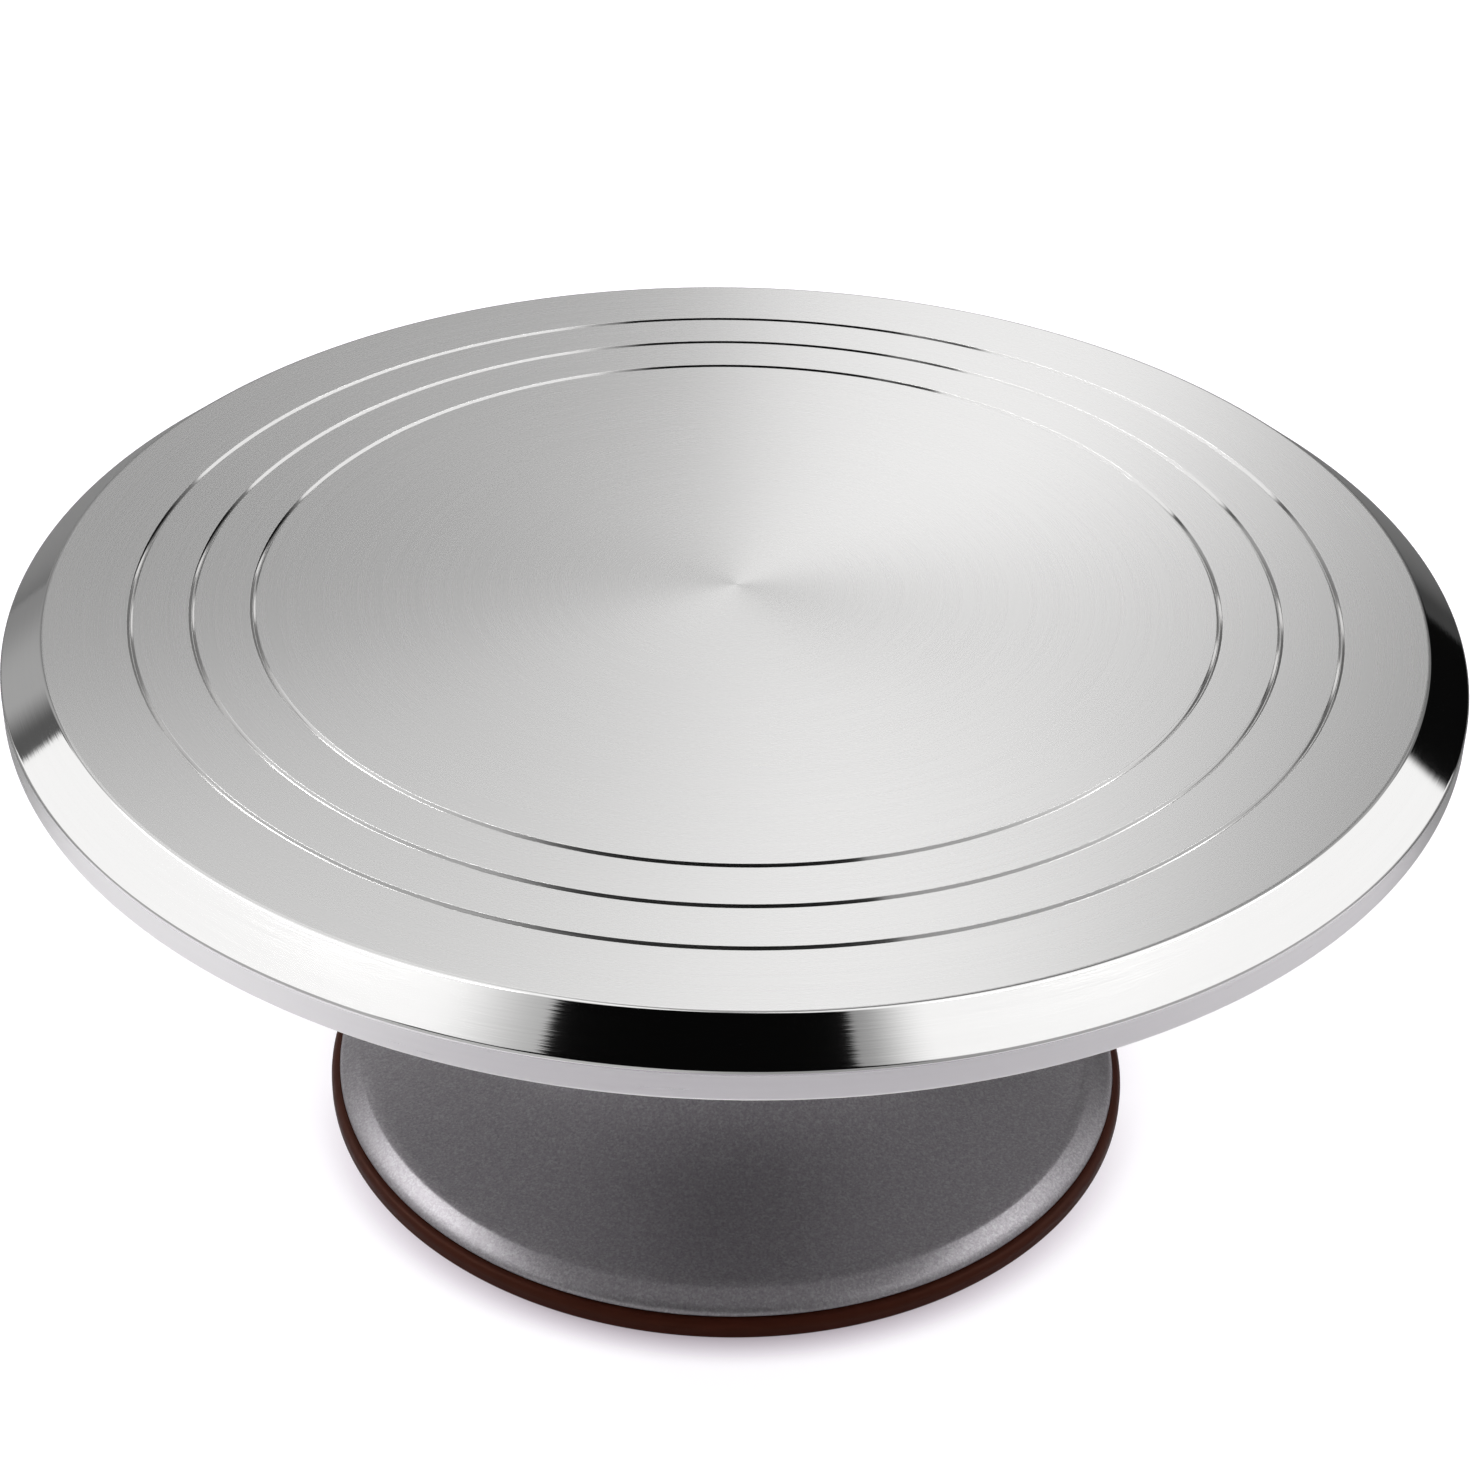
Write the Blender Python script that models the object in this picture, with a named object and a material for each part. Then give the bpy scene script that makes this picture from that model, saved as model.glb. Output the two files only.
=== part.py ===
"""Cake turntable: an aluminium plate that spins on two ball bearings in a cast trumpet foot.

The frame has +Z up along the spindle, and its origin at the centre of the foot's underside.
Sizes are in millimetres and turn into metres where a mesh is made. Outlines are closed lists
of (radius, height) corners, listed counter-clockwise, and a third number rounds that corner.
"""

from math import atan2, cos, hypot, pi, radians, sin, tan

import bmesh
import bpy
from mathutils import Matrix, Vector

MM = 0.001
GAP = 0.3

# Plate: a disc with a bevelled rim, a thin skirt, a hub boss and ribs under it
TABLE_HEIGHT = 129.0
PLATE_RADIUS = 152.5
PLATE_THICKNESS = 4.0
BEVEL_WIDTH = 8.8
BEVEL_DROP = 6.6
RIM_BAND = 6.25
SKIRT_WALL = 3.0
BEVEL_WALL = 3.5
GUIDE_RADII = (125.8, 113.3, 100.8)
GUIDE_WIDTH = 1.2
GUIDE_DEPTH = 0.7
BOSS_RADIUS = 44.0
BOSS_DEPTH = 7.0
PLATE_RIBS = 6
PLATE_RIB_WIDTH = 3.0
PLATE_RIB_DEPTH = 4.0

# Hub flange under the plate, its four screws and their spring washers
FLANGE_RADIUS = 42.0
FLANGE_THICKNESS = 5.0
FLANGE_NECK_RADIUS = 10.0
SCREW_COUNT = 4
SCREW_PITCH_RADIUS = 34.0
SCREW_RADIUS = 2.5
SCREW_REACH = 7.0
SCREW_HEAD_RADIUS = 4.7
SCREW_HEAD_HEIGHT = 3.0
SCREW_SOCKET_FLATS = 3.0
SCREW_SOCKET_DEPTH = 1.8
WASHER_THICKNESS = 1.0
WASHER_SWEEP = radians(345)

# Spindle, clamped through both bearings by a lock nut
SPINDLE_RADIUS = 7.5
SPINDLE_HEAD_RADIUS = 11.0
SPINDLE_HEAD_HEIGHT = 3.0
THREAD_RADIUS = 6.0
SPINDLE_END = 25.0
NUT_FLATS = 19.0
NUT_HEIGHT = 10.0
NUT_RECESS_RADIUS = 8.5
NUT_RECESS_DEPTH = 2.3
SPINDLE_WASHER_RADIUS = 11.0
SPINDLE_WASHER_THICKNESS = 1.5

# Ball bearings, 15 x 35 x 11
BEARING_RADIUS = 17.5
BEARING_WIDTH = 11.0
BALL_COUNT = 8
BALL_RADIUS = 2.976
BALL_PITCH_RADIUS = 12.5
INNER_LAND_RADIUS = 10.7
OUTER_LAND_RADIUS = 14.3
CAGE_INNER_RADIUS = 11.4
CAGE_OUTER_RADIUS = 13.6
CAGE_TOP = 7.0
SHIELD_INSET = 0.4
SHIELD_THICKNESS = 0.6
LOWER_BEARING = 39.0
UPPER_BEARING = 94.0

# Base casting: a trumpet shell with a bearing tube inside it, tied together by ribs
NECK_RADIUS = 24.0
NECK_TOP = 109.2
SHELL_WALL = 4.0
TUBE_RADIUS = 22.0
TUBE_BOTTOM = 18.0
BORE_SHOULDER_RADIUS = 15.5
FOOT_RADIUS = 89.0
LIP_CREASE_RADIUS = 84.0
LIP_CREASE_HEIGHT = 8.5
LIP_EDGE_RADIUS = 88.4
LIP_EDGE_HEIGHT = 5.4
BASE_RIBS = 4
BASE_RIB_WIDTH = 4.0
BASE_RIB_REACH = 58.0
BASE_RIB_TOE = 4.5
CIRCLIP_INNER_RADIUS = 15.6
CIRCLIP_OUTER_RADIUS = 19.0
CIRCLIP_THICKNESS = 1.5
CIRCLIP_SWEEP = radians(318)

# Silicone ring around and under the foot
RING_RADIUS = 91.0
RING_HEIGHT = 4.3
RING_FLOOR = 1.7
RING_WALL_INNER = 87.8
RING_INNER_RADIUS = 80.0

# Dust cap under the bearing tube
CAP_RADIUS = 21.5
CAP_THICKNESS = 1.5
CAP_SKIRT_TOP = 24.0

# Heights that follow from the sizes above
BEVEL_FOOT = TABLE_HEIGHT - BEVEL_DROP
RIM_BOTTOM = BEVEL_FOOT - RIM_BAND
UNDERSIDE = TABLE_HEIGHT - PLATE_THICKNESS
BOSS_FACE = UNDERSIDE - BOSS_DEPTH
FLANGE_TOP = BOSS_FACE - GAP
FLANGE_BOTTOM = FLANGE_TOP - FLANGE_THICKNESS
UPPER_BEARING_TOP = UPPER_BEARING + BEARING_WIDTH
LOWER_BEARING_TOP = LOWER_BEARING + BEARING_WIDTH
FOOT_BOTTOM = RING_FLOOR + GAP
FOOT_LEDGE = RING_HEIGHT + GAP

# Sides of the round pieces; multiples of 4 keep their full width along X and Y
PLATE_SIDES = 64
BASE_SIDES = 48
FLANGE_SIDES = 32
BEARING_SIDES = 20
SMALL_SIDES = 12


def material(name, colour, roughness, metallic):
    """A Principled material of one colour."""
    result = bpy.data.materials.new(name)
    result.use_nodes = True
    shader = result.node_tree.nodes["Principled BSDF"]
    shader.inputs["Base Color"].default_value = (*colour, 1.0)
    shader.inputs["Roughness"].default_value = roughness
    shader.inputs["Metallic"].default_value = metallic
    result.diffuse_color = (*colour, 1.0)
    return result


def rounded(outline, steps=2):
    """The outline with an arc at each corner that has a third number, its radius."""
    points = []
    for index, corner in enumerate(outline):
        place = Vector(corner[:2])
        if len(corner) == 2:
            points.append(place)
            continue
        before = (Vector(outline[index - 1][:2]) - place).normalized()
        after = (Vector(outline[(index + 1) % len(outline)][:2]) - place).normalized()
        half = before.angle(after) / 2
        centre = place + (before + after).normalized() * corner[2] / sin(half)
        start = place + before * corner[2] / tan(half) - centre
        end = place + after * corner[2] / tan(half) - centre
        turn = start.angle_signed(end)
        for step in range(steps + 1):
            points.append(centre + Matrix.Rotation(-turn * step / steps, 2) @ start)
    return points


def arc(centre, radius, first, last, steps):
    """Points along an arc of the outline's plane, between two angles in degrees."""
    angles = [radians(first + (last - first) * step / steps) for step in range(steps + 1)]
    return [(centre[0] + radius * cos(angle), centre[1] + radius * sin(angle)) for angle in angles]


def add_turned(bm, outline, sides, placement=Matrix(), sweep=2 * pi):
    """Turn a closed outline about Z, all the way round or through a part of a circle."""
    whole = sweep > 2 * pi - 1e-6
    columns = sides if whole else sides + 1
    rings = []
    for radius, height in outline:
        if radius < 1e-9:
            rings.append([bm.verts.new(placement @ Vector((0, 0, height * MM)))] * columns)
            continue
        ring = []
        for column in range(columns):
            angle = sweep * column / sides
            point = Vector((radius * cos(angle), radius * sin(angle), height)) * MM
            ring.append(bm.verts.new(placement @ point))
        rings.append(ring)
    for low, high in zip(rings, rings[1:] + rings[:1]):
        for column in range(sides):
            following = (column + 1) % columns
            corners = (low[column], low[following], high[following], high[column])
            corners = list(dict.fromkeys(corners))
            if len(corners) > 2:
                bm.faces.new(corners)
    if not whole:
        bm.faces.new([ring[0] for ring in reversed(rings)])
        bm.faces.new([ring[-1] for ring in rings])


def add_web(bm, outline, width, placement=Matrix()):
    """An upright slab: an outline in the XZ plane, made as thick as width along Y."""
    sides = []
    for y in (-width / 2, width / 2):
        sides.append([bm.verts.new(placement @ (Vector((x, y, z)) * MM)) for x, z in outline])
    front, back = sides
    bm.faces.new(front)
    bm.faces.new(list(reversed(back)))
    for index in range(len(outline)):
        before = index - 1
        bm.faces.new((front[before], back[before], back[index], front[index]))


def around(angle, distance=0.0, height=0.0):
    """A place at an angle about the spindle, a distance out from it and a height up."""
    return Matrix.Rotation(angle, 4, "Z") @ Matrix.Translation((distance * MM, 0, height * MM))


def finish_mesh(name, bm):
    """A smooth-shaded mesh with its faces pointing out."""
    bmesh.ops.recalc_face_normals(bm, faces=bm.faces)
    mesh = bpy.data.meshes.new(name)
    bm.to_mesh(mesh)
    bm.free()
    mesh.shade_smooth()
    mesh.set_sharp_from_angle(angle=radians(30))
    return mesh


def turned_mesh(name, outline, sides, sweep=2 * pi):
    bm = bmesh.new()
    add_turned(bm, outline, sides, sweep=sweep)
    return finish_mesh(name, bm)


def place(name, mesh, finish, parent, height=0.0, angle=0.0):
    """A piece of the turntable, on its parent's axis."""
    piece = bpy.data.objects.new(name, mesh)
    bpy.context.scene.collection.objects.link(piece)
    if finish and not mesh.materials:
        mesh.materials.append(finish)
    piece.location = (0, 0, height * MM)
    piece.rotation_euler = (0, 0, angle)
    piece.parent = parent
    return piece


def axis_empty(name):
    empty = bpy.data.objects.new(name, None)
    empty.empty_display_size = 0.03
    bpy.context.scene.collection.objects.link(empty)
    return empty


def shape_with(piece, tool, operation):
    """Cut a hidden tool from a piece, or join it on, with a live Boolean."""
    tool.hide_render = True
    tool.display_type = "WIRE"
    modifier = piece.modifiers.new(f"{operation.lower()}_{tool.name}", "BOOLEAN")
    modifier.operation = operation
    modifier.object = tool
    modifier.solver = "EXACT"


def washer_outline(inner, outer, low, high):
    return [(inner, low), (outer, low), (outer, high), (inner, high)]


def bezier(corners, step):
    """A point on a cubic curve, and its unit direction."""
    a, b, c, d = (Vector(corner) for corner in corners)
    rest = 1 - step
    point = rest**3 * a + 3 * rest**2 * step * b + 3 * rest * step**2 * c + step**3 * d
    heading = rest**2 * (b - a) + 2 * rest * step * (c - b) + step**2 * (d - c)
    return point, heading.normalized()


def trumpet(inset, first, last, steps):
    """The flared shell's curve from foot to neck, moved inwards by inset."""
    corners = ((LIP_CREASE_RADIUS, LIP_CREASE_HEIGHT), (46, 11.4), (26, 18), (NECK_RADIUS + 0.5, 62))
    points = []
    for index in range(steps + 1):
        point, heading = bezier(corners, first + (last - first) * index / steps)
        points.append(point + inset * Vector((-heading.y, heading.x)))
    return points


def make_plate(rotor, finish):
    """The plate, with its guide circles, its ribs and four blind screw holes in its boss."""
    slope = BEVEL_DROP / BEVEL_WIDTH
    flat_radius = PLATE_RADIUS - BEVEL_WIDTH
    skirt_inner = PLATE_RADIUS - SKIRT_WALL
    bevel_shift = BEVEL_WALL * hypot(1, slope)
    skirt_top = BEVEL_FOOT + slope * SKIRT_WALL - bevel_shift
    underside_radius = skirt_inner - (UNDERSIDE - skirt_top) / slope
    outline = [
        (0, BOSS_FACE), (BOSS_RADIUS, BOSS_FACE, 0.8), (BOSS_RADIUS, UNDERSIDE),
        (underside_radius, UNDERSIDE), (skirt_inner, skirt_top), (skirt_inner, RIM_BOTTOM),
        (PLATE_RADIUS, RIM_BOTTOM, 0.6), (PLATE_RADIUS, BEVEL_FOOT, 0.8),
        (flat_radius, TABLE_HEIGHT, 1.5),
    ]
    for radius in GUIDE_RADII:
        outline.append((radius + GUIDE_WIDTH / 2, TABLE_HEIGHT))
        outline.append((radius, TABLE_HEIGHT - GUIDE_DEPTH))
        outline.append((radius - GUIDE_WIDTH / 2, TABLE_HEIGHT))
    outline.append((0, TABLE_HEIGHT))
    plate = place("turntable_plate", turned_mesh("turntable_plate", rounded(outline), PLATE_SIDES),
                  finish, rotor)

    rib_low = UNDERSIDE - PLATE_RIB_DEPTH
    rib = [(BOSS_RADIUS - 1, rib_low), (skirt_inner + 1, rib_low), (skirt_inner + 1, rib_low + 1),
           (flat_radius, UNDERSIDE + 1.5), (BOSS_RADIUS - 1, UNDERSIDE + 1.5)]
    bm = bmesh.new()
    for index in range(PLATE_RIBS):
        add_web(bm, rib, PLATE_RIB_WIDTH, around(2 * pi * (index + 0.5) / PLATE_RIBS))
    shape_with(plate, place("tool_plate_ribs", finish_mesh("tool_plate_ribs", bm), None, rotor), "UNION")

    hole_end = SCREW_REACH + 2 * GAP
    hole = [(0, -1), (SCREW_RADIUS + GAP, -1), (SCREW_RADIUS + GAP, hole_end), (0, hole_end + 1)]
    bm = bmesh.new()
    for index in range(SCREW_COUNT):
        add_turned(bm, hole, SMALL_SIDES, around(screw_angle(index), SCREW_PITCH_RADIUS, BOSS_FACE))
    holes = place("tool_plate_holes", finish_mesh("tool_plate_holes", bm), None, rotor)
    shape_with(plate, holes, "DIFFERENCE")


def screw_angle(index):
    """The hub screws sit between the plate's ribs."""
    return 2 * pi * (index + 0.5) / SCREW_COUNT


def make_flange(rotor, finish):
    """The disc that carries the plate, with a neck that rests on the upper inner ring."""
    bore = SPINDLE_RADIUS + GAP
    recess = SPINDLE_HEAD_RADIUS + GAP
    seat = FLANGE_TOP - SPINDLE_HEAD_HEIGHT - 2 * GAP
    neck_bottom = UPPER_BEARING_TOP + GAP
    outline = [
        (bore, neck_bottom), (FLANGE_NECK_RADIUS, neck_bottom), (FLANGE_NECK_RADIUS, FLANGE_BOTTOM),
        (FLANGE_RADIUS, FLANGE_BOTTOM, 0.8), (FLANGE_RADIUS, FLANGE_TOP, 0.8),
        (recess, FLANGE_TOP), (recess, seat), (bore, seat),
    ]
    flange = place("hub_flange", turned_mesh("hub_flange", rounded(outline), FLANGE_SIDES), finish, rotor)
    hole = [(0, -1), (SCREW_RADIUS + GAP, -1), (SCREW_RADIUS + GAP, FLANGE_THICKNESS + 1),
            (0, FLANGE_THICKNESS + 1)]
    bm = bmesh.new()
    for index in range(SCREW_COUNT):
        add_turned(bm, hole, SMALL_SIDES, around(screw_angle(index), SCREW_PITCH_RADIUS, FLANGE_BOTTOM))
    holes = place("tool_flange_holes", finish_mesh("tool_flange_holes", bm), None, rotor)
    shape_with(flange, holes, "DIFFERENCE")


def make_hub_screws(rotor, finish):
    """Four socket screws that hold the flange up to the plate, each on a split spring washer."""
    head_top = -2 * GAP - WASHER_THICKNESS
    head_bottom = head_top - SCREW_HEAD_HEIGHT
    shank_end = FLANGE_THICKNESS + GAP + SCREW_REACH
    screw = [(0, head_bottom), (SCREW_HEAD_RADIUS, head_bottom, 0.8), (SCREW_HEAD_RADIUS, head_top),
             (SCREW_RADIUS, head_top), (SCREW_RADIUS, shank_end), (0, shank_end)]
    socket_radius = SCREW_SOCKET_FLATS / 2 / cos(pi / 6)
    socket_end = head_bottom + SCREW_SOCKET_DEPTH
    socket = [(0, head_bottom - 1), (socket_radius, head_bottom - 1),
              (socket_radius, socket_end), (0, socket_end)]
    washer = washer_outline(SCREW_RADIUS + GAP, SCREW_HEAD_RADIUS, -GAP - WASHER_THICKNESS, -GAP)
    sockets = bmesh.new()
    for index in range(SCREW_COUNT):
        centre = around(screw_angle(index), SCREW_PITCH_RADIUS, FLANGE_BOTTOM)
        add_turned(sockets, socket, 6, centre)
    tool = place("tool_screw_sockets", finish_mesh("tool_screw_sockets", sockets), None, rotor)
    for index in range(SCREW_COUNT):
        centre = around(screw_angle(index), SCREW_PITCH_RADIUS, FLANGE_BOTTOM)
        bm = bmesh.new()
        add_turned(bm, rounded(screw), SMALL_SIDES, centre)
        piece = place(f"hub_screw_{index + 1}", finish_mesh(f"hub_screw_{index + 1}", bm), finish, rotor)
        shape_with(piece, tool, "DIFFERENCE")
        bm = bmesh.new()
        add_turned(bm, washer, SMALL_SIDES, centre, sweep=WASHER_SWEEP)
        place(f"spring_washer_{index + 1}", finish_mesh(f"spring_washer_{index + 1}", bm), finish, rotor)


def make_spindle(rotor, steel, nylon):
    """The spindle, and what its lower end carries: a washer and a lock nut with a nylon insert."""
    head_low = FLANGE_TOP - GAP - SPINDLE_HEAD_HEIGHT
    shoulder = LOWER_BEARING + GAP
    spindle = [
        (0, SPINDLE_END), (THREAD_RADIUS - 0.8, SPINDLE_END), (THREAD_RADIUS, SPINDLE_END + 0.8),
        (THREAD_RADIUS, shoulder), (SPINDLE_RADIUS, shoulder), (SPINDLE_RADIUS, head_low),
        (SPINDLE_HEAD_RADIUS, head_low), (SPINDLE_HEAD_RADIUS, FLANGE_TOP - GAP, 0.5),
        (0, FLANGE_TOP - GAP),
    ]
    place("spindle", turned_mesh("spindle", rounded(spindle), BEARING_SIDES), steel, rotor)

    hole = THREAD_RADIUS + GAP
    washer_top = LOWER_BEARING - GAP
    washer_low = washer_top - SPINDLE_WASHER_THICKNESS
    washer = washer_outline(hole, SPINDLE_WASHER_RADIUS, washer_low, washer_top)
    place("spindle_washer", turned_mesh("spindle_washer", washer, BEARING_SIDES), steel, rotor)

    nut_top = washer_low - GAP
    nut_low = nut_top - NUT_HEIGHT
    corner = NUT_FLATS / 2 / cos(pi / 6)
    blank = [(0, nut_low), (corner, nut_low), (corner, nut_top), (0, nut_top)]
    nut = place("lock_nut", turned_mesh("lock_nut", blank, 6), steel, rotor)
    recess_top = nut_low + NUT_RECESS_DEPTH
    bore = [(0, nut_low - 1), (NUT_RECESS_RADIUS, nut_low - 1), (NUT_RECESS_RADIUS, recess_top),
            (hole, recess_top), (hole, nut_top + 1), (0, nut_top + 1)]
    tool = place("tool_nut_bore", turned_mesh("tool_nut_bore", bore, BEARING_SIDES), None, rotor)
    shape_with(nut, tool, "DIFFERENCE")
    insert = washer_outline(hole, NUT_RECESS_RADIUS - GAP, nut_low + GAP, recess_top - GAP)
    place("nut_insert", turned_mesh("nut_insert", insert, BEARING_SIDES), nylon, rotor)


def make_bearing(name, height, base, rotor, cage_axis, steel, nylon):
    """A shielded ball bearing: its outer ring stays, its inner ring turns, its cage follows."""
    middle = BEARING_WIDTH / 2
    pocket = BALL_RADIUS + GAP
    centre = (BALL_PITCH_RADIUS, middle)
    outer_reach = atan2((pocket**2 - (OUTER_LAND_RADIUS - BALL_PITCH_RADIUS)**2)**0.5,
                        OUTER_LAND_RADIUS - BALL_PITCH_RADIUS) * 180 / pi
    outer = [(OUTER_LAND_RADIUS, 0), (BEARING_RADIUS, 0), (BEARING_RADIUS, BEARING_WIDTH),
             (OUTER_LAND_RADIUS, BEARING_WIDTH)]
    outer += arc(centre, pocket, outer_reach, -outer_reach, 4)
    place(f"{name}_outer_ring", turned_mesh(f"{name}_outer_ring", outer, BEARING_SIDES), steel, base, height)

    bore = SPINDLE_RADIUS + GAP
    inner = [(bore, BEARING_WIDTH), (bore, 0), (INNER_LAND_RADIUS, 0)]
    inner += arc(centre, pocket, 180 + outer_reach, 180 - outer_reach, 4)
    inner += [(INNER_LAND_RADIUS, BEARING_WIDTH)]
    place(f"{name}_inner_ring", turned_mesh(f"{name}_inner_ring", inner, BEARING_SIDES), steel, rotor, height)

    low_shield = SHIELD_INSET
    high_shield = BEARING_WIDTH - SHIELD_INSET - SHIELD_THICKNESS
    for side, low in (("bottom", low_shield), ("top", high_shield)):
        shield = washer_outline(INNER_LAND_RADIUS + 0.4, OUTER_LAND_RADIUS - GAP, low, low + SHIELD_THICKNESS)
        place(f"{name}_{side}_shield", turned_mesh(f"{name}_{side}_shield", shield, BEARING_SIDES), steel,
              base, height)

    cage_low = SHIELD_INSET + SHIELD_THICKNESS + GAP
    cage_outline = washer_outline(CAGE_INNER_RADIUS, CAGE_OUTER_RADIUS, cage_low, CAGE_TOP)
    cage = place(f"{name}_cage", turned_mesh(f"{name}_cage", cage_outline, 2 * BALL_COUNT), nylon,
                 cage_axis, height)
    pockets = bmesh.new()
    reach = CAGE_OUTER_RADIUS - CAGE_INNER_RADIUS
    drill = [(0, -reach), (pocket, -reach), (pocket, reach), (0, reach)]
    for index in range(BALL_COUNT):
        lying = Matrix.Rotation(pi / 2, 4, "Y")
        add_turned(pockets, drill, SMALL_SIDES, around(ball_angle(index), BALL_PITCH_RADIUS, middle) @ lying)
    tool = place(f"tool_{name}_pockets", finish_mesh(f"tool_{name}_pockets", pockets), None, cage_axis, height)
    shape_with(cage, tool, "DIFFERENCE")

    ball_mesh = bmesh.new()
    out = Matrix.Translation((BALL_PITCH_RADIUS * MM, 0, middle * MM))
    bmesh.ops.create_icosphere(ball_mesh, subdivisions=2, radius=BALL_RADIUS * MM, matrix=out)
    ball_mesh = finish_mesh(f"{name}_ball", ball_mesh)
    for index in range(BALL_COUNT):
        place(f"{name}_ball_{index + 1}", ball_mesh, steel, cage_axis, height, ball_angle(index))


def ball_angle(index):
    return 2 * pi * (index + 0.5) / BALL_COUNT


def make_spacer(rotor, finish):
    """The tube that holds the two inner rings apart."""
    spacer = washer_outline(SPINDLE_RADIUS + GAP, FLANGE_NECK_RADIUS, LOWER_BEARING_TOP + GAP,
                            UPPER_BEARING - GAP)
    place("bearing_spacer", turned_mesh("bearing_spacer", spacer, BEARING_SIDES), finish, rotor)


def make_circlip(base, finish):
    """The open ring that keeps the upper bearing in its bore."""
    low = UPPER_BEARING_TOP + GAP
    outline = washer_outline(CIRCLIP_INNER_RADIUS, CIRCLIP_OUTER_RADIUS, low, low + CIRCLIP_THICKNESS)
    mesh = turned_mesh("circlip", outline, BEARING_SIDES, sweep=CIRCLIP_SWEEP)
    place("circlip", mesh, finish, base, angle=pi - CIRCLIP_SWEEP / 2)


def make_base(base, finish):
    """The trumpet casting with its bearing tube, and the ribs that tie tube and shell."""
    bore = BEARING_RADIUS + GAP
    groove = CIRCLIP_OUTER_RADIUS + GAP
    groove_top = UPPER_BEARING_TOP + CIRCLIP_THICKNESS + 2 * GAP
    rebate = RING_WALL_INNER - GAP
    inner_curve = trumpet(SHELL_WALL, 0.76, 0.1, 6)
    hollow_top = inner_curve[0].y
    lip = [(FOOT_RADIUS, FOOT_LEDGE), (LIP_EDGE_RADIUS, LIP_EDGE_HEIGHT)]
    outline = [(RING_INNER_RADIUS + 0.5, FOOT_BOTTOM), (rebate, FOOT_BOTTOM), (rebate, FOOT_LEDGE)]
    outline += lip + trumpet(0, 0.0, 1.0, 9)
    outline += [
        (NECK_RADIUS, NECK_TOP, 1.2), (bore, NECK_TOP), (bore, groove_top), (groove, groove_top),
        (groove, UPPER_BEARING_TOP), (bore, UPPER_BEARING_TOP), (bore, UPPER_BEARING - GAP),
        (BORE_SHOULDER_RADIUS, UPPER_BEARING - GAP), (BORE_SHOULDER_RADIUS, LOWER_BEARING_TOP + GAP),
        (bore, LOWER_BEARING_TOP + GAP), (bore, TUBE_BOTTOM), (TUBE_RADIUS, TUBE_BOTTOM),
        (TUBE_RADIUS, hollow_top),
    ]
    outline += inner_curve
    casting = place("base_casting", turned_mesh("base_casting", rounded(outline), BASE_SIDES), finish, base)

    middle_curve = trumpet(SHELL_WALL / 2, 0.76, 0.22, 8)
    rib = [(TUBE_RADIUS - 2, TUBE_BOTTOM + 1), (TUBE_RADIUS - 2, hollow_top + 2)]
    rib += [tuple(point) for point in middle_curve] + [(BASE_RIB_REACH, BASE_RIB_TOE)]
    bm = bmesh.new()
    for index in range(BASE_RIBS):
        add_web(bm, rib, BASE_RIB_WIDTH, around(2 * pi * (index + 0.5) / BASE_RIBS))
    shape_with(casting, place("tool_base_ribs", finish_mesh("tool_base_ribs", bm), None, base), "UNION")


def make_grip_ring(base, finish):
    """The non-slip ring: a wall round the foot and a flange under it."""
    outline = [
        (RING_INNER_RADIUS, 0), (RING_RADIUS, 0, 0.8), (RING_RADIUS, RING_HEIGHT, 1.6),
        (RING_WALL_INNER, RING_HEIGHT), (RING_WALL_INNER, RING_FLOOR), (RING_INNER_RADIUS, RING_FLOOR),
    ]
    place("grip_ring", turned_mesh("grip_ring", rounded(outline, 3), BASE_SIDES), finish, base)


def make_dust_cap(base, finish):
    """The pressed cap that closes the bearing tube from below."""
    skirt = BEARING_RADIUS
    top = TUBE_BOTTOM - GAP
    low = top - CAP_THICKNESS
    outline = [(0, low), (CAP_RADIUS, low, 0.7), (CAP_RADIUS, top), (skirt, top), (skirt, CAP_SKIRT_TOP),
               (skirt - CAP_THICKNESS, CAP_SKIRT_TOP), (skirt - CAP_THICKNESS, top), (0, top)]
    place("dust_cap", turned_mesh("dust_cap", rounded(outline), BEARING_SIDES), finish, base)


def main():
    for old in list(bpy.data.objects):
        bpy.data.objects.remove(old)

    aluminium = material("turned aluminium", (0.70, 0.69, 0.69), 0.28, 1.0)
    paint = material("dark grey hammered paint", (0.085, 0.078, 0.084), 0.45, 0.4)
    silicone = material("brown silicone", (0.080, 0.026, 0.016), 0.42, 0.0)
    steel = material("bright steel", (0.60, 0.60, 0.62), 0.25, 1.0)
    nylon = material("ivory nylon", (0.62, 0.58, 0.48), 0.5, 0.0)

    base = axis_empty("base_frame")
    rotor = axis_empty("plate_axis")
    upper_cage_axis = axis_empty("upper_cage_axis")
    lower_cage_axis = axis_empty("lower_cage_axis")

    make_plate(rotor, aluminium)
    make_flange(rotor, steel)
    make_hub_screws(rotor, steel)
    make_spindle(rotor, steel, nylon)
    make_bearing("upper_bearing", UPPER_BEARING, base, rotor, upper_cage_axis, steel, nylon)
    make_bearing("lower_bearing", LOWER_BEARING, base, rotor, lower_cage_axis, steel, nylon)
    make_spacer(rotor, steel)
    make_circlip(base, steel)
    make_base(base, paint)
    make_grip_ring(base, silicone)
    make_dust_cap(base, steel)


main()
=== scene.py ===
"""Looks for the cake turntable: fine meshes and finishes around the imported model.

Everything is in metres, +Z up along the spindle, with the camera on the -Y side. Outlines are
closed lists of (radius, height) corners in millimetres, listed counter-clockwise; a third
number rounds that corner.
"""

from math import acos, cos, degrees, hypot, pi, radians, sin, tan

import bmesh
import bpy
from mathutils import Matrix, Vector


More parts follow.
